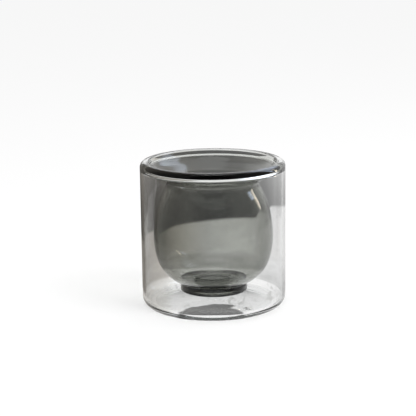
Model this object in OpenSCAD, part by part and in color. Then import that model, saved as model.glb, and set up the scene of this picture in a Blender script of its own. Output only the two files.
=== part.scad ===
// Double walled glass cup. A clear straight sleeve stands on a clear base, and a smoked glass bowl
// hangs inside it from the rim, so the bowl and the round foot under it float above the base.
// Millimetres. The cup stands on z = 0 and its axis is Z.
// Every piece but the seal is a turned profile, where x is the radius and y is the height.

/* [Outer glass] */
// Outer diameter of the cup
cup_d = 80; // [68:1:96]
// Height of the cup, from the table to the crest of the rim
cup_h = 81; // [68:1:96]
// Wall thickness of the clear sleeve
wall_t = 1.5; // [1.2:0.1:1.8]
// Radius of the outer edge between sleeve and base
heel_r = 5.5; // [4.5:0.5:8]
// Height of the top of the base above the table
floor_z = 2.8; // [2.2:0.1:4]
// Radius of the corner inside, where the sleeve meets the top of the base
corner_r = 2.6; // [1.5:0.1:3.2]
// Width of the flat ring that the cup stands on
stand_w = 1.5; // [0.8:0.1:3]
// Rise of the domed underside at the axis
punt_h = 1.2; // [0.4:0.1:1.5]

/* [Rim] */
// Radius of the outer edge of the rim
shoulder_r = 3; // [2.6:0.1:3.4]
// Width of the level crest between the two edges
crest_w = 1; // [0.7:0.1:1.3]
// Radius of the inner edge of the rim
lip_r = 0.9; // [0.6:0.1:1.2]
// Depth below the crest at which the line of the flare's underside meets the inside of the sleeve
flare_drop = 3.15; // [2.8:0.05:3.6]
// Slope of the flare below the horizontal, in degrees
flare_a = 32.5; // [30:0.5:35]
// Radius of the long bend that turns the flare up into the lip, on its inner face
lip_bend_r = 14; // [12:0.5:17]
// Radius of the round top of the air space between the walls
nook_r = 2; // [1.7:0.1:2.3]

/* [Bowl] */
// Wall thickness of the smoked bowl
bowl_t = 1.6; // [1.4:0.1:1.9]
// Air gap between the sleeve and the bowl at its widest
belly_gap = 5.3; // [4:0.1:7]
// Depth of the widest place below the crest of the rim
belly_drop = 42; // [36:0.5:50]
// Outer radius of the bend at the neck
neck_r = 2.7; // [2:0.1:4]
// Radius of the side of the bowl above its widest place
side_r = 65; // [58:1:75]
// Angle that the side spans before it turns in to the neck, in degrees
side_a = 11; // [8:0.5:14]
// Radius of the side where it turns in to the neck
crown_r = 49; // [44:1:54]
// Radius of the side below the widest place, as a multiple of the height from there to the bottom
flank_ratio = 1.64; // [1.4:0.02:1.9]
// Angle that the lower side spans before it turns in to the bottom, in degrees
flank_a = 16; // [12:0.5:20]

/* [Foot ring] */
// Air gap between the base and the foot ring
foot_gap = 5.5; // [4:0.1:8]
// Outer diameter of the foot ring under the bowl
foot_d = 37.4; // [34:0.2:42]
// Height of the ring below the bottom of the bowl
foot_h = 3.3; // [2:0.1:4.5]
// Radius of the lower edge of the ring
foot_edge_r = 0.4; // [0.3:0.1:0.9]
// Diameter of the shallow recess in the underside, which leaves the ring round it
recess_d = 20.8; // [16:0.2:24]
// Depth of the recess, and radius of its rounded edge
recess_h = 0.9; // [0.4:0.1:1.3]
// Radius of the hollow where the bowl runs down into the ring
weld_r = 0.9; // [0.5:0.1:1.2]

/* [Vent and seal] */
// Diameter of the vent hole through the base
vent_d = 2.6; // [2:0.1:3.5]
// Distance from the inside of the sleeve to the middle of the vent
vent_inset = 9.5; // [7:0.5:14]
// Angle of the vent to the right of the front, in degrees
vent_a = 37; // [0:1:360]
// Diameter of the drop of glass that seals the vent
seal_d = 5.6; // [4.5:0.1:6.5]
// Height of the drop above the base
seal_h = 1.1; // [0.6:0.1:1.5]

/* [Hidden] */
$fn = 180;

cup_r = cup_d / 2;
// Inside of the sleeve
bore_r = cup_r - wall_t;
// Centres of the rim's rounded edges, with the level crest between them
shoulder_c = [cup_r - shoulder_r, cup_h - shoulder_r];
lip_c = [shoulder_c.x - crest_w, cup_h - lip_r];
// Outer edge of the flat ring that the cup stands on
stand_r = cup_r - heel_r;
// Room that cutting shapes take beyond what they cut
spare = 1;

// The domed underside is part of a ball that passes through the inner edge of the standing ring
punt_edge = stand_r - stand_w;
punt_ball_r = (punt_edge ^ 2 + punt_h ^ 2) / (2 * punt_h);
punt_ball_z = punt_h - punt_ball_r;

// The flare rises along flare_dir, and flare_down points square out of its underside
flare_dir = [cos(flare_a), sin(flare_a)];
flare_down = [sin(flare_a), -cos(flare_a)];
// Where the underside of the flare meets the inside of the sleeve
flare_end = [bore_r, cup_h - flare_drop];

// The bend's inner face touches the top of the flare and the rounded lip, so its centre is where a line
// above the flare meets a circle round the lip's centre
bend_span = lip_bend_r + lip_r;
bend_from = flare_end - (lip_bend_r + bowl_t) * flare_down - lip_c;
bend_along = bend_from * flare_dir;
bend_step = -bend_along - sqrt(bend_along ^ 2 - bend_from * bend_from + bend_span ^ 2);
bend_c = lip_c + bend_from + bend_step * flare_dir;
lip_low = lip_c + lip_r / bend_span * (bend_c - lip_c);
// Where the bend leaves the flare, at depth t in the glass below its inner face
function bend_start(t) = bend_c + (lip_bend_r + t) * flare_down;

// The round top of the air space touches the sleeve and the underside of the bend
nook_span = lip_bend_r + bowl_t + nook_r;
nook_c = [bore_r - nook_r, bend_c.y - sqrt(nook_span ^ 2 - (bore_r - nook_r - bend_c.x) ^ 2)];
// The smoked lip and the clear rim are fused from the air space up to the inner edge of the crest
seam_low = nook_c + nook_r / nook_span * (bend_c - nook_c);
seam_top = [lip_c.x, cup_h];

// Heights of the foot ring, of the bottom of the bowl and of its widest place
foot_z = floor_z + foot_gap;
bowl_z = foot_z + foot_h;
belly_z = cup_h - belly_drop;
belly_r = bore_r - belly_gap;
// Two arcs run from the widest place down to the bottom, and the lower one ends level there
flank_r = flank_ratio * (belly_z - bowl_z);
turn_r = (belly_z - bowl_z - flank_r * sin(flank_a)) / (1 - sin(flank_a));

// Centres of the arcs of the bowl's outline, from the neck down to the bottom
side_c = [belly_r - side_r, belly_z];
crown_c = side_c + (side_r - crown_r) * [cos(side_a), sin(side_a)];
flank_c = [belly_r - flank_r, belly_z];
turn_c = flank_c + (flank_r - turn_r) * [cos(flank_a), -sin(flank_a)];

// The neck's bend touches the flare and the crown's arc, so its centre is where a line neck_r below
// the flare meets a circle neck_r outside the crown
neck_span = crown_r + neck_r;
neck_from = flare_end + neck_r * flare_down - crown_c;
neck_along = neck_from * flare_dir;
neck_step = sqrt(neck_along ^ 2 - neck_from * neck_from + neck_span ^ 2) - neck_along;
neck_c = crown_c + neck_from + neck_step * flare_dir;

// The hollow above the foot touches the side of the ring and the lowest arc of the bowl
foot_r = foot_d / 2;
weld_span = turn_r + weld_r;
weld_c = [foot_r + weld_r, turn_c.y - sqrt(weld_span ^ 2 - (foot_r + weld_r - turn_c.x) ^ 2)];
weld_top = turn_c + turn_r / weld_span * (weld_c - turn_c);

// Places where one arc of the outline ends and the next begins, at depth t in the glass
function flare_start(t) = neck_c - (neck_r + t) * flare_down;
function crown_end(t) = crown_c + (crown_r - t) / neck_span * (neck_c - crown_c);
function side_top(t) = belly_z + (side_r - t) * sin(side_a);
function flank_low(t) = belly_z - (flank_r - t) * sin(flank_a);

module disc(centre, radius) {
    translate(centre) circle(r = radius);
}

// Everything from the axis out to the sleeve between two heights
module layer(low, high) {
    translate([0, low]) square([cup_r, high - low]);
}

// Block with one corner at the origin of the profile
module block(low, high) {
    translate(low) square(high - low);
}

// Glass or air between an arc that rises to the right and the straight line between its ends
module bulge(centre, radius, low, high) {
    intersection() {
        disc(centre, radius);
        polygon([low, [high.x, low.y], high]);
    }
}

// All that lies inside the bowl's outline from its bottom to the foot of the flare, at depth t
module bowl_inside(t) {
    intersection() {
        disc(turn_c, turn_r - t);
        layer(bowl_z + t, flank_low(t));
    }
    block([0, bowl_z + t], [turn_c.x, flank_low(t)]);
    intersection() {
        disc(flank_c, flank_r - t);
        layer(flank_low(t), belly_z);
    }
    intersection() {
        disc(side_c, side_r - t);
        layer(belly_z, side_top(t));
    }
    intersection() {
        disc(crown_c, crown_r - t);
        layer(side_top(t), crown_end(t).y);
    }
    difference() {
        polygon([[0, crown_end(t).y], crown_end(t), neck_c, flare_start(t), [0, flare_start(t).y]]);
        disc(neck_c, neck_r + t);
    }
}

// Space above the bowl's wall, where the drink goes
module cavity() {
    bowl_inside(bowl_t);
    start = flare_start(bowl_t);
    polygon([[0, start.y], start, bend_start(0), lip_low, [lip_low.x, cup_h + spare], [0, cup_h + spare]]);
    bulge(bend_c, lip_bend_r, bend_start(0), lip_low);
    // Outside of the rounded inner edge of the lip
    difference() {
        block(lip_low, [lip_c.x, cup_h + spare]);
        disc(lip_c, lip_r);
    }
}

module bowl_profile() {
    difference() {
        union() {
            bowl_inside(0);
            start = flare_start(0);
            polygon([[0, start.y], start, bend_start(bowl_t), seam_low, seam_top, [0, cup_h]]);
            bulge(bend_c, lip_bend_r + bowl_t, bend_start(bowl_t), seam_low);
            // Glass that runs down to the foot ring, with the hollow round it
            difference() {
                polygon([[0, weld_c.y], weld_c, weld_top, [0, weld_top.y]]);
                disc(weld_c, weld_r);
            }
        }
        cavity();
    }
}

module inner_bowl() {
    color("dimgray") rotate_extrude() bowl_profile();
}

// Pressed disc with a recess in its underside, and an upper face cut to the bowl that it is fused to
module foot_ring() {
    edge_c = [foot_r - foot_edge_r, foot_z + foot_edge_r];
    recess_c = [recess_d / 2 - recess_h, foot_z];
    color("dimgray") rotate_extrude() difference() {
        union() {
            block([0, foot_z], [edge_c.x, weld_c.y]);
            block([0, edge_c.y], [foot_r, weld_c.y]);
            disc(edge_c, foot_edge_r);
        }
        block([0, foot_z - spare], recess_c + [0, recess_h]);
        disc(recess_c, recess_h);
        bowl_inside(0);
    }
}

// Clear glass that closes the top of the double wall, between the sleeve and the smoked lip
module rim_bead() {
    color("gainsboro", 0.5) rotate_extrude() difference() {
        intersection() {
            polygon([nook_c, seam_low, seam_top, [cup_r, cup_h], [cup_r, nook_c.y]]);
            union() {
                block([seam_low.x, nook_c.y], [shoulder_c.x, cup_h]);
                block([seam_low.x, nook_c.y], [cup_r, shoulder_c.y]);
                disc(shoulder_c, shoulder_r);
            }
        }
        disc(nook_c, nook_r);
    }
}

module outer_sleeve() {
    color("gainsboro", 0.35) rotate_extrude() block([bore_r, heel_r], [cup_r, nook_c.y]);
}

module base_plate() {
    color("gainsboro", 0.35) difference() {
        rotate_extrude() difference() {
            union() {
                block([0, 0], [stand_r, heel_r]);
                intersection() {
                    disc([stand_r, heel_r], heel_r);
                    block([0, 0], [cup_r, heel_r]);
                }
            }
            block([0, floor_z], [bore_r - corner_r, heel_r + spare]);
            block([0, floor_z + corner_r], [bore_r, heel_r + spare]);
            disc([bore_r - corner_r, floor_z + corner_r], corner_r);
            punt();
        }
        vent_place() cylinder(d = vent_d, h = 2 * floor_z, center = true);
    }
}

// Space under the domed underside. The dome is nearly flat, so its circle has fine steps.
module punt() {
    intersection() {
        translate([0, punt_ball_z]) circle(r = punt_ball_r, $fn = 3600);
        layer(-spare, punt_h);
    }
}

module vent_place() {
    rotate([0, 0, vent_a]) translate([0, vent_inset - bore_r, 0]) children();
}

// Drop of clear glass that runs through the vent and domes up inside
module vent_seal() {
    dome_r = (seal_d ^ 2 / 4 + seal_h ^ 2) / (2 * seal_h);
    color("gainsboro", 0.6) difference() {
        vent_place() {
            cylinder(d = vent_d, h = floor_z);
            intersection() {
                translate([0, 0, floor_z]) cylinder(d = seal_d, h = seal_h);
                translate([0, 0, floor_z + seal_h - dome_r]) sphere(r = dome_r);
            }
        }
        rotate_extrude() punt();
    }
}

outer_sleeve();
base_plate();
rim_bead();
inner_bowl();
foot_ring();
vent_seal();
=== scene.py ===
import math

import bmesh
import bpy
from mathutils import Matrix, Vector


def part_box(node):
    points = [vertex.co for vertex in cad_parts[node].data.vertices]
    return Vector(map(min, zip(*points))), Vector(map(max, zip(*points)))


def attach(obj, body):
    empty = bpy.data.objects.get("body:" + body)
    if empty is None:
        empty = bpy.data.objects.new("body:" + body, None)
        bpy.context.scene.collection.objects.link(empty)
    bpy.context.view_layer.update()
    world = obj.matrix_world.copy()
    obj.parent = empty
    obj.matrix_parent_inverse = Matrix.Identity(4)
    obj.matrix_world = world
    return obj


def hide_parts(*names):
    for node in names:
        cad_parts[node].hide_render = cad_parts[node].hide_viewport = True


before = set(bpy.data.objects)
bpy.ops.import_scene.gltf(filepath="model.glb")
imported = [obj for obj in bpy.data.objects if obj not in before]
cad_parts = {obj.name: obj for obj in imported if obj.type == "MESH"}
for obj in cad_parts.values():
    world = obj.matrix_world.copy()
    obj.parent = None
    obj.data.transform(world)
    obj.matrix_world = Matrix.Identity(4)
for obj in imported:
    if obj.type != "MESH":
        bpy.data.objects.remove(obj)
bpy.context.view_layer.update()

MM = 0.001

# Sizes that the frame gives. The bowl is widest where its lip meets the crest.
sleeve_low, sleeve_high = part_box("outer_sleeve")
bowl_low, bowl_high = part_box("inner_bowl")
foot_low, foot_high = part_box("foot_ring")
cup_r = sleeve_high.x
heel_r = sleeve_low.z
cup_h = bowl_high.z
crest_r = bowl_high.x
bowl_z = bowl_low.z
foot_z = foot_low.z
foot_r = foot_high.x

# Sizes of the clear glass, as the CAD source has them
wall_t = 1.5 * MM
floor_z = 2.8 * MM
corner_r = 2.6 * MM
stand_w = 1.5 * MM
punt_h = 1.2 * MM
shoulder_r = 3 * MM
lip_r = 0.9 * MM
flare_drop = 3.15 * MM
flare_a = 32.5
lip_bend_r = 14 * MM
nook_r = 2 * MM
vent_d = 2.6 * MM
vent_inset = 9.5 * MM
vent_a = 37
seal_d = 5.6 * MM
seal_h = 1.1 * MM

# Sizes of the smoked glass, as the CAD source has them
bowl_t = 1.6 * MM
belly_gap = 5.3 * MM
belly_drop = 42 * MM
neck_r = 2.7 * MM
side_r = 65 * MM
side_a = 11
crown_r = 49 * MM
flank_ratio = 1.64
flank_a = 16
foot_edge_r = 0.4 * MM
recess_d = 20.8 * MM
recess_h = 0.9 * MM
weld_r = 0.9 * MM

# Sizes of the seal's drop that only the scene has: the radii of its round edge, of the dip inside it and
# of the pip in the middle, and how high the edge's middle is over the base
drop_edge_r = 0.62 * MM
drop_dip_r = 0.9 * MM
drop_pip_r = 0.5 * MM
drop_edge_up = 0.25 * MM
# Lowest point of the dip, inwards and upwards of the edge's middle
drop_dip_in = 0.75 * MM
drop_dip_up = 0.55 * MM
# Share of the edge's radius at which the drop meets the base
drop_meet = 0.94

# Half the slit left between two pieces that are fused, so that no two faces lie in one place
SLIT = 0.005 * MM
# Points of an outline that are nearer than this are one point
SAME = 1e-7
# Steps round the cup, and round the small vent and its seal
TURNS = 288
SMALL_TURNS = 48
# Longest step and turn along an arc, and longest step along a straight line
LONGEST_STEP = 0.9 * MM
WIDEST_TURN = 4.0
LONGEST_STRAIGHT = 2.5 * LONGEST_STEP
# Angle between two faces from which their edge is sharp
SHARP_A = 30


def direction(angle):
    """Unit vector at that many degrees above the horizontal."""
    return Vector((math.cos(math.radians(angle)), math.sin(math.radians(angle))))


def degrees_of(way):
    """The angle above the horizontal in which a vector points."""
    return math.degrees(math.atan2(way.y, way.x))


def arc(centre, radius, start, end):
    """Points along an arc from one angle to another, in degrees, both ends included."""
    length = math.radians(abs(end - start)) * radius
    steps = max(2, math.ceil(abs(end - start) / WIDEST_TURN), math.ceil(length / LONGEST_STEP))
    return [centre + radius * direction(start + (end - start) * i / steps) for i in range(steps + 1)]


def point(r, z):
    """A point of an outline."""
    return Vector((r, z))


# Shared places of the outlines, worked out as in the CAD source
bore_r = cup_r - wall_t
stand_r = cup_r - heel_r
punt_edge = stand_r - stand_w
punt_ball_r = (punt_edge ** 2 + punt_h ** 2) / (2 * punt_h)
flare_dir = direction(flare_a)
flare_down = direction(flare_a - 90)
flare_end = point(bore_r, cup_h - flare_drop)
shoulder_c = point(cup_r - shoulder_r, cup_h - shoulder_r)
lip_c = point(crest_r, cup_h - lip_r)
bend_span = lip_bend_r + lip_r
bend_from = flare_end - (lip_bend_r + bowl_t) * flare_down - lip_c
bend_along = bend_from.dot(flare_dir)
bend_step = -bend_along - math.sqrt(bend_along ** 2 - bend_from.length_squared + bend_span ** 2)
bend_c = lip_c + bend_from + bend_step * flare_dir
bend_a = degrees_of(lip_c - bend_c)
rise_r = lip_bend_r + bowl_t
nook_x = bore_r - nook_r
nook_c = point(nook_x, bend_c.y - math.sqrt((rise_r + nook_r) ** 2 - (nook_x - bend_c.x) ** 2))
nook_a = degrees_of(nook_c - bend_c)
seam_low = bend_c + rise_r * direction(nook_a)
seam_top = point(crest_r, cup_h)
belly_z = cup_h - belly_drop
belly_r = bore_r - belly_gap
flank_r = flank_ratio * (belly_z - bowl_z)
flank_sin = math.sin(math.radians(flank_a))
turn_r = (belly_z - bowl_z - flank_r * flank_sin) / (1 - flank_sin)
side_c = point(belly_r - side_r, belly_z)
crown_c = side_c + (side_r - crown_r) * direction(side_a)
flank_c = point(belly_r - flank_r, belly_z)
turn_c = flank_c + (flank_r - turn_r) * direction(-flank_a)
neck_from = flare_end + neck_r * flare_down - crown_c
neck_along = neck_from.dot(flare_dir)
neck_span = crown_r + neck_r
neck_step = math.sqrt(neck_along ** 2 - neck_from.length_squared + neck_span ** 2) - neck_along
neck_c = crown_c + neck_from + neck_step * flare_dir
crown_a = degrees_of(neck_c - crown_c)
weld_x = foot_r + weld_r
weld_c = point(weld_x, turn_c.y - math.sqrt((turn_r + weld_r) ** 2 - (weld_x - turn_c.x) ** 2))
weld_a = degrees_of(weld_c - turn_c)
vent_c = (bore_r - vent_inset) * direction(vent_a - 90)


def bowl_outline(depth, start):
    """The bowl from that angle on its lowest arc up to the flare, that deep in the glass."""
    return (arc(turn_c, turn_r - depth, start, -flank_a) + arc(flank_c, flank_r - depth, -flank_a, 0)
            + arc(side_c, side_r - depth, 0, side_a) + arc(crown_c, crown_r - depth, side_a, crown_a)
            + arc(neck_c, neck_r + depth, crown_a + 180, 90 + flare_a))


def evened(points):
    """The outline without double points and with no step over the longest."""
    kept = [points[0]]
    for p in points[1:]:
        gap = (p - kept[-1]).length
        if gap < SAME:
            continue
        steps = math.ceil(gap / LONGEST_STRAIGHT)
        start = kept[-1]
        kept += [start.lerp(p, i / steps) for i in range(1, steps + 1)]
    return kept


def placed(name, data):
    """A new object of the scene that holds a mesh, light or camera."""
    made = bpy.data.objects.new(name, data)
    bpy.context.scene.collection.objects.link(made)
    return made


def turned(name, stretches, turns=TURNS):
    """A solid turned on its own axis. Each stretch is (points, fused), where fused is True along a face
    that has run together with its neighbour. The outline starts and ends on the axis, or its last stretch
    meets the first."""
    outline, fused = [], []
    for points, is_fused in stretches:
        points = evened(points)
        if outline and (points[0] - outline[-1]).length < SAME:
            points = points[1:]
        # One mark for each step, so the first stretch has one less than it has points
        if outline:
            fused += [is_fused] * len(points)
        else:
            fused += [is_fused] * (len(points) - 1)
        outline += points
    closed = (outline[0] - outline[-1]).length < SAME
    if closed:
        outline.pop()
    verts, rings = [], []
    for r, z in outline:
        if r < SAME:
            rings.append([len(verts)] * turns)
            verts.append((0, 0, z))
            continue
        rings.append(list(range(len(verts), len(verts) + turns)))
        verts += [(r * math.cos(math.tau * k / turns), r * math.sin(math.tau * k / turns), z)
                  for k in range(turns)]
    faces, marks = [], []
    pairs = list(zip(rings, rings[1:]))
    if closed:
        pairs.append((rings[-1], rings[0]))
    for (low, high), mark in zip(pairs, fused):
        for k in range(turns):
            j = (k + 1) % turns
            # On the axis two corners are one point, and a step along the axis has no face
            corners = list(dict.fromkeys([low[k], low[j], high[j], high[k]]))
            if len(corners) > 2:
                faces.append(corners)
                marks.append(float(mark))
    mesh = bpy.data.meshes.new(name)
    mesh.from_pydata(verts, [], faces)
    mesh.attributes.new("fused", "FLOAT", "FACE").data.foreach_set("value", marks)
    shell = bmesh.new()
    shell.from_mesh(mesh)
    if shell.calc_volume(signed=True) < 0:
        bmesh.ops.reverse_faces(shell, faces=shell.faces)
    shell.to_mesh(mesh)
    shell.free()
    mesh.shade_smooth()
    mesh.set_sharp_from_angle(angle=math.radians(SHARP_A))
    return placed(name, mesh)


# The pieces
def foot_seam(gap):
    """The face between the bowl and its foot, from the axis out, that far below the bowl's own."""
    radius, height = turn_r + gap, weld_c.y - gap
    dip_a = -math.degrees(math.asin((turn_c.y - height) / radius))
    return [point(0, bowl_z - gap)] + arc(turn_c, radius, -90, dip_a) + [point(foot_r, height)]


def make_inner_bowl():
    """The smoked bowl with its neck, flare and lip."""
    slit = point(SLIT, 0)
    inner = [point(0, bowl_z + bowl_t)] + bowl_outline(bowl_t, -90)
    outer = bowl_outline(0, weld_a) + arc(bend_c, rise_r, flare_a - 90, nook_a)
    return turned("inner_bowl_glass", [
        (foot_seam(0), True),
        (arc(weld_c, weld_r, 180, 180 + weld_a) + outer[:-1] + [seam_low - slit], False),
        ([seam_low - slit, seam_top - slit], True),
        (arc(lip_c - slit, lip_r, 90, 180 + bend_a) + arc(bend_c, lip_bend_r, bend_a, flare_a - 90)
         + inner[::-1], False),
    ])


def make_foot_ring():
    """The smoked foot, pressed with a recess in its underside."""
    seam = foot_seam(2 * SLIT)
    edge = arc(point(foot_r - foot_edge_r, foot_z + foot_edge_r), foot_edge_r, 0, -90)
    recess = arc(point(recess_d / 2 - recess_h, foot_z), recess_h, 0, 90)
    return turned("foot_ring_glass", [
        (seam, True),
        (seam[-1:] + edge + recess + [point(0, foot_z + recess_h)], False),
    ])


def make_rim_bead():
    """The clear rim between the sleeve and the smoked lip."""
    slit = point(SLIT, 0)
    low = nook_c.y + SLIT
    return turned("rim_bead_glass", [
        ([seam_low + slit, seam_top + slit], True),
        (arc(shoulder_c, shoulder_r, 90, 0) + [point(cup_r, low)], False),
        ([point(cup_r, low), point(bore_r, low)], True),
        ([point(bore_r, low)] + arc(nook_c, nook_r, 0, 180 + nook_a)[1:-1] + [seam_low + slit], False),
    ])


def make_outer_sleeve():
    """The clear straight wall."""
    low, high = heel_r + SLIT, nook_c.y - SLIT
    return turned("outer_sleeve_glass", [
        ([point(cup_r, high), point(bore_r, high)], True),
        ([point(bore_r, high), point(bore_r, low)], False),
        ([point(bore_r, low), point(cup_r, low)], True),
        ([point(cup_r, low), point(cup_r, high)], False),
    ])


def punt_arc(edge):
    """The domed underside from the axis out to that radius."""
    angle = math.degrees(math.asin(edge / punt_ball_r))
    return arc(point(0, punt_h - punt_ball_r), punt_ball_r, 90, 90 - angle)


def vent_low():
    """Height of the domed underside at the vent's inner side."""
    reach = (vent_c.length - vent_d / 2) / punt_ball_r
    return punt_h - punt_ball_r * (1 - math.cos(math.asin(reach)))


def make_base_plate():
    """The clear base with its heel and the vent hole."""
    top = heel_r - SLIT
    corner = arc(point(bore_r - corner_r, floor_z + corner_r), corner_r, 0, -90)
    heel = arc(point(stand_r, heel_r), heel_r, -90, 0)
    base = turned("base_plate_glass", [
        ([point(cup_r, top), point(bore_r, top)], True),
        (corner + [point(0, floor_z)], False),
        (punt_arc(punt_edge) + heel + [point(cup_r, top)], False),
    ])
    high, low = 2 * floor_z, -floor_z
    drill = turned("vent_drill", [
        ([point(0, high), point(vent_d / 2, high), point(vent_d / 2, low), point(0, low)], True),
    ], turns=SMALL_TURNS)
    drill.location = (vent_c.x, vent_c.y, 0)
    bpy.context.view_layer.update()
    # The exact solver gives an inside out solid here
    cut = base.modifiers.new("vent", "BOOLEAN")
    cut.operation, cut.solver, cut.object = "DIFFERENCE", "FAST", drill
    result = base.evaluated_get(bpy.context.evaluated_depsgraph_get())
    drilled = bpy.data.meshes.new_from_object(result)
    base.modifiers.clear()
    base.data = drilled
    bpy.data.objects.remove(drill)
    return base


def make_vent_seal():
    """The drop of glass that fills the vent, with a round edge, a dip, and a pip where it was pulled."""
    low = floor_z + SLIT
    edge_c = point(seal_d / 2 - drop_edge_r, low + drop_edge_up)
    dip_c = point(edge_c.x - drop_dip_in, edge_c.y + drop_dip_up + drop_dip_r)
    pip_c = point(0, floor_z + seal_h - drop_pip_r)
    meet = point(edge_c.x + drop_edge_r * drop_meet, low)
    stem_r = vent_d / 2 - SLIT
    # The pip runs into the dip and the dip into the edge, which turns under down to the base
    seal = turned("vent_seal_glass", [
        (arc(pip_c, drop_pip_r, 90, 15) + arc(dip_c, drop_dip_r, 225, 285)
         + arc(edge_c, drop_edge_r, 75, -20) + [meet], False),
        ([meet, point(stem_r, low), point(stem_r, vent_low())], True),
        ([point(stem_r, vent_low()), point(0, vent_low())], False),
    ], turns=SMALL_TURNS)
    seal.data.transform(Matrix.Translation((vent_c.x, vent_c.y, 0)))
    return seal


# Colours that several node trees use
WHITE = (1, 1, 1, 1)
TWICE = (2, 2, 2, 1)


# Nodes
def node(tree, kind, settings=None, **inputs):
    """A new shader node. Its inputs go by their label, with _ for a space, or by i and their number. An
    input that is given a socket gets linked to it."""
    made = tree.nodes.new("ShaderNode" + kind)
    for key, value in (settings or {}).items():
        setattr(made, key, value)
    for key, value in inputs.items():
        name = key.replace("_", " ")
        socket = made.inputs[int(name[1:])] if name[0] == "i" and name[1:].isdigit() else made.inputs[name]
        if isinstance(value, bpy.types.NodeSocket):
            tree.links.new(value, socket)
        else:
            socket.default_value = value
    return made


def empty_tree(holder):
    """The node tree of a new material or world, with nothing in it."""
    holder.use_nodes = True
    holder.node_tree.nodes.clear()
    return holder.node_tree


def maths(tree, kind, first, second, third=0.0):
    """The result of one sum on numbers or sockets."""
    return node(tree, "Math", {"operation": kind}, i0=first, i1=second, i2=third).outputs[0]


def product(tree, first, *others):
    """The product of some numbers or sockets."""
    for other in others:
        first = maths(tree, "MULTIPLY", first, other)
    return first


def blended(tree, share, first, second, kind="MIX"):
    """Two colours mixed by a share."""
    return node(tree, "Mix", {"data_type": "RGBA", "blend_type": kind},
                i0=share, i6=first, i7=second).outputs[2]


def tinted(tree, colour, tint):
    """The product of two colours."""
    return blended(tree, 1.0, colour, tint, "MULTIPLY")


def graded(tree, value, stops):
    """A value that runs smoothly past (place, level) stops, and is never over 1. A level is a number or a
    colour. One over 1 makes the steps beside it steeper."""
    low, high = stops[0][0], stops[-1][0]
    place = node(tree, "MapRange", Value=value, From_Min=low, From_Max=high)
    ramp = node(tree, "ValToRGB", Fac=place.outputs[0])
    ramp.color_ramp.interpolation = "B_SPLINE"
    while len(ramp.color_ramp.elements) < len(stops):
        ramp.color_ramp.elements.new(0.5)
    for element, (where, level) in zip(ramp.color_ramp.elements, stops):
        element.position = (where - low) / (high - low)
        element.color = (*level, 1) if isinstance(level, tuple) else (level, level, level, 1)
    return ramp.outputs["Color"]


def ramped(tree, value, low, high):
    """0 up to low, 1 from high, and smooth between them. It falls where low is the greater."""
    if low < high:
        ends = {"From_Min": low, "From_Max": high}
    else:
        ends = {"From_Min": high, "From_Max": low, "To_Min": 1.0, "To_Max": 0.0}
    return node(tree, "MapRange", {"interpolation_type": "SMOOTHSTEP"}, Value=value, **ends).outputs[0]


def within(tree, value, low, high, soft):
    """1 between two values and 0 outside them, with soft edges."""
    return product(tree, ramped(tree, value, low - soft, low + soft),
                   ramped(tree, value, high + soft, high - soft))


def spot(tree, x, y, place, soft):
    """1 within an ellipse on the table, given as its middle and half sizes, with a soft edge."""
    (mid_x, mid_y), (half_x, half_y) = place
    across = maths(tree, "DIVIDE", maths(tree, "SUBTRACT", x, mid_x), half_x)
    along = maths(tree, "DIVIDE", maths(tree, "SUBTRACT", y, mid_y), half_y)
    spread = maths(tree, "ADD", product(tree, across, across), product(tree, along, along))
    return ramped(tree, spread, 1 + soft, 1 - soft)


# Glass: how much it bends light, and the depth of its bumps at full strength
GLASS_IOR = 1.47
BUMP_DEPTH = 0.4 * MM
# Its slow waves and its fine turned rings: their scales, how far the rings are drawn out sideways, and
# their height beside the waves'
WAVE_SCALE = 45.0
RING_SCALE = 420.0
RING_STRETCH = (0.05, 0.05, 1.0)
RING_SHARE = 0.25
# The colour that light takes on in each glass, how fast it does so, and the share of a lamp's light that
# passes each face
CLEAR_TINT = (0.9, 0.95, 0.93, 1)
CLEAR_DENSITY = 20.0
CLEAR_LAMP = (0.97, 0.97, 0.97, 1)
SMOKED_TINT = (0.126, 0.15, 0.076, 1)
SMOKED_DENSITY = 328.0
FOOT_DENSITY = 170.0
SMOKED_LAMP = (0.93, 0.93, 0.93, 1)


def glass(name, tint, density, lamp_tint, waves=0.02):
    """Glass with its colour all through, and turned rings and slow waves on its surface. Fused faces show
    nothing, and lamps shine through with a share that lamp_tint gives."""
    material = bpy.data.materials.new(name)
    tree = empty_tree(material)
    place = node(tree, "TexCoord").outputs["Object"]
    slow = node(tree, "TexNoise", Vector=place, Scale=WAVE_SCALE, Detail=1.0)
    rings = node(tree, "Mapping", Vector=place, Scale=RING_STRETCH)
    fine = node(tree, "TexNoise", Vector=rings.outputs[0], Scale=RING_SCALE, Detail=2.0)
    height = maths(tree, "MULTIPLY_ADD", fine.outputs["Fac"], RING_SHARE, slow.outputs["Fac"])
    bump = node(tree, "Bump", Height=height, Strength=waves, Distance=BUMP_DEPTH)
    body = node(tree, "BsdfPrincipled", Base_Color=WHITE, Roughness=0.0, IOR=GLASS_IOR,
                Transmission_Weight=1.0, Normal=bump.outputs[0])
    fused = node(tree, "Attribute", {"attribute_name": "fused"})
    shown = node(tree, "MixShader", i0=fused.outputs["Fac"], i1=body.outputs[0],
                 i2=node(tree, "BsdfTransparent").outputs[0])
    lamps = node(tree, "BsdfTransparent", Color=lamp_tint)
    surface = node(tree, "MixShader", i0=node(tree, "LightPath").outputs["Is Shadow Ray"],
                   i1=shown.outputs[0], i2=lamps.outputs[0])
    depth = node(tree, "VolumeAbsorption", Color=tint, Density=density)
    node(tree, "OutputMaterial", Surface=surface.outputs[0], Volume=depth.outputs[0])
    return material


# Stage: the floor's size, how far it lies under the cup, its colour, the share of it that glows white
# where it is seen, and the world's light on rays that don't show it
FLOOR_SIZE = 6.0
FLOOR_DROP = 0.05 * MM
FLOOR_PAINT = (0.95, 0.95, 0.95, 1)
FLOOR_GLOW = 0.5
AMBIENT = 0.9


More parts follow.
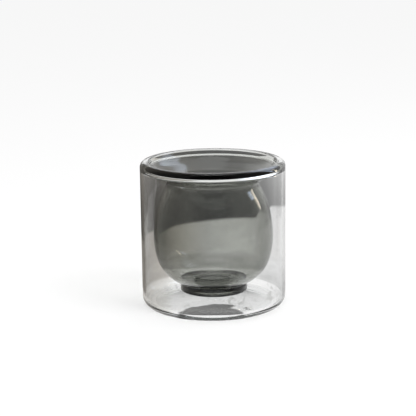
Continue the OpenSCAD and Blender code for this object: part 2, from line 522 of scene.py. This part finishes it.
def seen_rays(tree):
    """1 on rays from the camera and on those that glass reflects or bends, and otherwise 0."""
    path = node(tree, "LightPath")
    some = maths(tree, "MAXIMUM", path.outputs["Is Camera Ray"], path.outputs["Is Glossy Ray"])
    return maths(tree, "MAXIMUM", some, path.outputs["Is Transmission Ray"])


def make_world():
    """White where it is seen, and an even soft light elsewhere."""
    world = bpy.data.worlds.new("studio_world")
    bpy.context.scene.world = world
    tree = empty_tree(world)
    strength = node(tree, "Mix", {"data_type": "FLOAT"}, i0=seen_rays(tree), i2=AMBIENT, i3=1.0)
    light = node(tree, "Background", Color=WHITE, Strength=strength.outputs[0])
    node(tree, "OutputWorld", Surface=light.outputs[0])


def make_floor():
    """A pale floor that reads nearly white and keeps the cup's shadow."""
    mesh = bpy.data.meshes.new("studio_floor")
    half = FLOOR_SIZE / 2
    corners = [(-half, -half, 0), (half, -half, 0), (half, half, 0), (-half, half, 0)]
    mesh.from_pydata(corners, [], [(0, 1, 2, 3)])
    floor = placed("studio_floor", mesh)
    floor.location.z = -FLOOR_DROP
    material = bpy.data.materials.new("studio_floor")
    tree = empty_tree(material)
    paint = node(tree, "BsdfDiffuse", Color=FLOOR_PAINT)
    glow = node(tree, "Emission", Color=WHITE, Strength=1.0)
    share = product(tree, seen_rays(tree), FLOOR_GLOW)
    surface = node(tree, "MixShader", i0=share, i1=paint.outputs[0], i2=glow.outputs[0])
    node(tree, "OutputMaterial", Surface=surface.outputs[0])
    mesh.materials.append(material)


# The studio tent: a round wall and a table top that only glass shows, with the cup on its axis. It stands
# for the room in the photograph, where x runs to the right and y away from the camera. Its light is set by
# stops, each a place and a level, and by soft steps, each from where it is 0 to where it is 1.
TENT_R = 0.13
TENT_TOP = 0.5
TENT_TURNS = 96
TENT_LIFT = 0.02 * MM
# Height of the table's edge on the wall in the middle, how much it rises to the right, how soft it is, and
# the steps in it past the cup's sides: from and to in x, and how high
EDGE_Z = 0.017
EDGE_SLOPE = 0.08
EDGE_SOFT = 0.0012
EDGE_STEPS = [(-0.036, -0.05, -0.0015), (0.036, 0.046, 0.0065)]
# The dark wall over the edge by x, and how its light grows with height, up to twice
DARK = [(-0.13, 0.26), (-0.09, 0.18), (-0.06, 0.08), (-0.04, 0.08), (-0.02, 0.12), (0.015, 0.12),
        (0.036, 0.19), (0.05, 0.46), (0.08, 0.62)]
DARK_RISE = [(0.02, 0.35), (0.045, 0.48), (0.07, 0.9), (0.088, 1.0)]
# What is paler under the edge, and the table, by x
PALE = [(-0.13, 0.20), (-0.08, 0.21), (-0.045, 0.38), (-0.025, 0.50), (0.0, 0.78), (0.04, 0.84),
        (0.08, 0.90)]
# Faint upright streaks: scale of the noise, how it is drawn out upwards, and share of light by noise
UPRIGHT_SCALE = 75.0
UPRIGHT_STRETCH = (1.0, 1.0, 0.04)
UPRIGHT = [(0.3, 0.84), (0.5, 1.0), (0.7, 1.18)]
# Light of wall and table by y
NEARER = [(-0.02, 0.5), (0.0, 0.5), (0.06, 0.9), (0.095, 0.92), (0.13, 1.0)]
# Gain towards the far end of the table: step in y, from and to in x, how soft that is, and how much
FAR_Y = (0.085, 0.11)
FAR_X = (-0.034, 0.036, 0.01)
FAR_GAIN = 0.3
# Warm tint on the left, and where it fades
WARM = (1.07, 1.0, 0.9, 1)
WARM_END = (-0.04, 0.0)
# Heights between which the table top gives way to the wall
TABLE_Z = (0.002, 0.001)
# The plain half on the camera's side: step in y, and the light of its table and wall
PLAIN_Y = (0.02, -0.04)
PLAIN_TABLE = (0.55, 0.55, 0.54, 1)
PLAIN_WALL = (0.2, 0.2, 0.195, 1)
# The dark zone in it: steps in z and y, from and to in x with how soft that is, and light
MIRRORED_Z = (0.03, 0.09)
MIRRORED_Y = (-0.02, -0.045)
MIRRORED_X = (-0.07, 0.07, 0.02)
MIRRORED = (0.05, 0.05, 0.05, 1)
# Noise that stirs the outlines of what lies on the table: its scale, and how far it moves them
STIR_SCALE = 140.0
STIR = 0.012
# The pool of light that the cup gathers on the table: middle, half sizes, softness and light by x
POOL_PLACE = ((-0.003, -0.003), (0.050, 0.065))
POOL_SOFT = 0.15
POOL = [(-0.04, (0.60, 0.58, 0.55)), (-0.028, (0.68, 0.67, 0.64)), (-0.022, (1.17, 1.19, 1.18)),
        (0.022, (1.20, 1.22, 1.21)), (0.030, (1.00, 1.02, 1.02)), (0.04, (1.15, 1.15, 1.15))]
# Grey streaks in it: scale of the noise, how it is drawn out away from the camera, how far it is twisted,
# the step in the noise where grey begins, and the grey
STREAK_SCALE = 170.0
STREAK_STRETCH = (1.0, 0.25, 1.0)
STREAK_TWIST = 1.2
STREAK_STEP = (0.55, 0.72)
STREAK_GREY = (0.70, 0.70, 0.69, 1)
# The foot's shadow in the pool, which is also the dark patch in the base, and the point at its back: middle
# and half sizes, softness, the straight front edge as a step in y, and light by y
SHADOW_PLACE = ((-0.002, -0.034), (0.018, 0.0225))
SHADOW_SOFT = 0.12
TAIL_PLACE = ((0.003, -0.0135), (0.008, 0.0045))
TAIL_SOFT = 0.3
SHADOW_FRONT = (-0.0345, -0.0325)
SHADOW = [(-0.034, 0.05), (-0.030, 0.13), (-0.024, 0.19), (-0.01, 0.23)]
# The bright card behind the cup: steps in z and y, and from and to in x with how soft that is
CARD_Z = (0.088, 0.098)
CARD_Y = (0.0, 0.03)
CARD_X = (-0.06, 0.08, 0.02)
# Windows on the wall: from and to in degrees from the right towards the back, low, high, how soft their
# edges are in degrees, light
WINDOWS = [
    (-1, 7, 0.100, 0.160, 0.5, (4.6, 5.3, 6.6)),
    (10, 15, 0.070, 0.135, 0.5, (9.5, 8.6, 7.2)),
    (36, 38, 0.025, 0.075, 0.5, (1.3, 1.3, 1.3)),
    (12, 68, 0.145, 0.26, 7, (3.2, 3.5, 4.0)),
]
# How far a window's edge runs up the wall for each degree that it runs along it
SOFT_RISE = 0.003


def room_light(tree, where, upper, x, y, z):
    """The room in the tent's far half: a darker wall over a paler table."""
    dark = tinted(tree, graded(tree, x, DARK), tinted(tree, graded(tree, z, DARK_RISE), TWICE))
    upright = node(tree, "Mapping", Vector=where, Scale=UPRIGHT_STRETCH)
    uneven = node(tree, "TexNoise", Vector=upright.outputs[0], Scale=UPRIGHT_SCALE, Detail=3.0)
    shade = blended(tree, upper, graded(tree, x, PALE), dark)
    shade = tinted(tree, shade, graded(tree, uneven.outputs["Fac"], UPRIGHT))
    lit = tinted(tree, shade, graded(tree, y, NEARER))
    far = product(tree, ramped(tree, y, *FAR_Y), within(tree, x, *FAR_X), FAR_GAIN)
    lit = tinted(tree, lit, blended(tree, far, WHITE, TWICE))
    return tinted(tree, lit, blended(tree, ramped(tree, x, *WARM_END), WARM, WHITE))


def with_near_half(tree, lit, upper, table, x, y, z):
    """The light with a plain half on the camera's side, dark where the foot and the shoulder mirror it."""
    plain = blended(tree, upper, PLAIN_TABLE, PLAIN_WALL)
    lit = blended(tree, ramped(tree, y, *PLAIN_Y), lit, plain)
    mirrored = maths(tree, "MAXIMUM", table, ramped(tree, z, *MIRRORED_Z))
    mirrored = product(tree, mirrored, within(tree, x, *MIRRORED_X), ramped(tree, y, *MIRRORED_Y))
    return blended(tree, mirrored, lit, MIRRORED)


def with_pool(tree, lit, where, table, x, y):
    """The light with the pool that the cup gathers on the table, and the foot's shadow in it."""
    stir = node(tree, "TexNoise", Vector=where, Scale=STIR_SCALE, Detail=3.0, Roughness=0.6).outputs["Fac"]
    stir = maths(tree, "SUBTRACT", stir, 0.5)
    stirred_x = maths(tree, "MULTIPLY_ADD", stir, STIR, x)
    stirred_y = maths(tree, "MULTIPLY_ADD", stir, STIR, y)
    long = node(tree, "Mapping", Vector=where, Scale=STREAK_STRETCH)
    streaks = node(tree, "TexNoise", Vector=long.outputs[0], Scale=STREAK_SCALE, Detail=2.0,
                   Distortion=STREAK_TWIST)
    grey = ramped(tree, streaks.outputs["Fac"], *STREAK_STEP)
    pool = blended(tree, grey, graded(tree, stirred_x, POOL), STREAK_GREY)
    lit = blended(tree, product(tree, spot(tree, x, y, POOL_PLACE, POOL_SOFT), table), lit, pool)
    shadow = maths(tree, "MAXIMUM", spot(tree, x, stirred_y, SHADOW_PLACE, SHADOW_SOFT),
                   spot(tree, stirred_x, stirred_y, TAIL_PLACE, TAIL_SOFT))
    shadow = product(tree, shadow, table, ramped(tree, y, *SHADOW_FRONT))
    return blended(tree, shadow, lit, graded(tree, y, SHADOW))


def tent_light(tree):
    """What the glass sees on the tent's wall and table."""
    where = node(tree, "NewGeometry").outputs["Position"]
    place = node(tree, "SeparateXYZ", Vector=where)
    x, y, z = place.outputs["X"], place.outputs["Y"], place.outputs["Z"]
    edge = maths(tree, "MULTIPLY_ADD", x, EDGE_SLOPE, EDGE_Z)
    for start, end, rise in EDGE_STEPS:
        edge = maths(tree, "MULTIPLY_ADD", ramped(tree, x, start, end), rise, edge)
    upper = ramped(tree, maths(tree, "SUBTRACT", z, edge), -EDGE_SOFT, EDGE_SOFT)
    table = ramped(tree, z, *TABLE_Z)
    lit = room_light(tree, where, upper, x, y, z)
    lit = with_near_half(tree, lit, upper, table, x, y, z)
    lit = with_pool(tree, lit, where, table, x, y)
    card = product(tree, ramped(tree, z, *CARD_Z), ramped(tree, y, *CARD_Y), within(tree, x, *CARD_X))
    lit = blended(tree, card, lit, WHITE)
    azimuth = maths(tree, "MULTIPLY", maths(tree, "ARCTAN2", y, x), math.degrees(1))
    for start, end, bottom, top, soft, light in WINDOWS:
        share = product(tree, within(tree, azimuth, start, end, soft),
                        within(tree, z, bottom, top, soft * SOFT_RISE))
        lit = blended(tree, share, lit, (*light, 1))
    return lit


def make_tent():
    """Round wall and table top around the cup, which light, shadows and the camera pass by."""
    angles = [math.tau * k / TENT_TURNS for k in range(TENT_TURNS)]
    ring = [(TENT_R * math.cos(angle), TENT_R * math.sin(angle)) for angle in angles]
    verts = [(x, y, 0.0) for x, y in ring] + [(x, y, TENT_TOP) for x, y in ring]
    faces = []
    for k in range(TENT_TURNS):
        j = (k + 1) % TENT_TURNS
        faces.append((k, j, TENT_TURNS + j, TENT_TURNS + k))
    faces.append(tuple(range(TENT_TURNS)))
    mesh = bpy.data.meshes.new("studio_tent")
    mesh.from_pydata(verts, [], faces)
    tent = placed("studio_tent", mesh)
    tent.location.z = TENT_LIFT
    material = bpy.data.materials.new("studio_tent")
    tree = empty_tree(material)
    glow = node(tree, "Emission", Color=tent_light(tree), Strength=1.0)
    node(tree, "OutputMaterial", Surface=glow.outputs[0])
    mesh.materials.append(material)
    tent.visible_camera = False
    tent.visible_diffuse = False
    tent.visible_shadow = False
    tent.visible_volume_scatter = False


def make_lamp(name, place, aim, size, power):
    """A soft square lamp that points at a place."""
    light = bpy.data.lights.new(name, "AREA")
    light.shape = "RECTANGLE"
    light.size, light.size_y = size
    light.energy = power
    lamp = placed(name, light)
    lamp.location = place
    lamp.rotation_euler = (Vector(aim) - Vector(place)).to_track_quat("-Z", "Y").to_euler()


def make_camera():
    """The photograph's camera: how far, how high, where it points, and its slight roll."""
    distance, rise = 0.7317, 13.89
    yaw, pitch, roll = -0.22, 1.04, -0.68
    middle = Vector((0, 0, cup_h / 2))
    back = Vector((0, -math.cos(math.radians(rise)), math.sin(math.radians(rise))))
    place = middle + distance * back
    side = Vector((1, 0, 0))
    up = side.cross(-back)
    ahead = (-back + math.radians(yaw) * side + math.radians(pitch) * up).normalized()
    side = ahead.cross(up).normalized()
    up = side.cross(ahead)
    c, s = math.cos(math.radians(roll)), math.sin(math.radians(roll))
    right = c * side + s * up
    top = c * up - s * side
    lens = bpy.data.cameras.new("photo_camera")
    lens.lens = 113.9
    lens.sensor_width = 36
    lens.clip_start, lens.clip_end = 0.01, 20
    camera = placed("photo_camera", lens)
    turn = Matrix((right, top, -ahead)).transposed().to_4x4()
    camera.matrix_world = Matrix.Translation(place) @ turn
    bpy.context.scene.camera = camera


def dress(piece, node_name, material):
    """Gives a piece its material, and lets it stand for its CAD node."""
    piece.data.materials.append(material)
    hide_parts(node_name)
    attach(piece, "root")


bpy.context.scene.view_settings.view_transform = "Standard"
make_camera()
make_world()
make_floor()
make_tent()
make_lamp("key_lamp", (0.55, -0.35, 0.75), (0, 0, 0.03), (0.35, 0.35), 4.0)

clear = glass("clear_glass", CLEAR_TINT, CLEAR_DENSITY, CLEAR_LAMP)
smoked = glass("smoked_glass", SMOKED_TINT, SMOKED_DENSITY, SMOKED_LAMP, waves=0.12)
pressed = glass("smoked_foot_glass", SMOKED_TINT, FOOT_DENSITY, SMOKED_LAMP)
sealed = glass("seal_glass", CLEAR_TINT, CLEAR_DENSITY, CLEAR_LAMP, waves=0.1)

dress(make_outer_sleeve(), "outer_sleeve", clear)
dress(make_base_plate(), "base_plate", clear)
dress(make_rim_bead(), "rim_bead", clear)
dress(make_inner_bowl(), "inner_bowl", smoked)
dress(make_foot_ring(), "foot_ring", pressed)
dress(make_vent_seal(), "vent_seal", sealed)

bpy.context.view_layer.update()
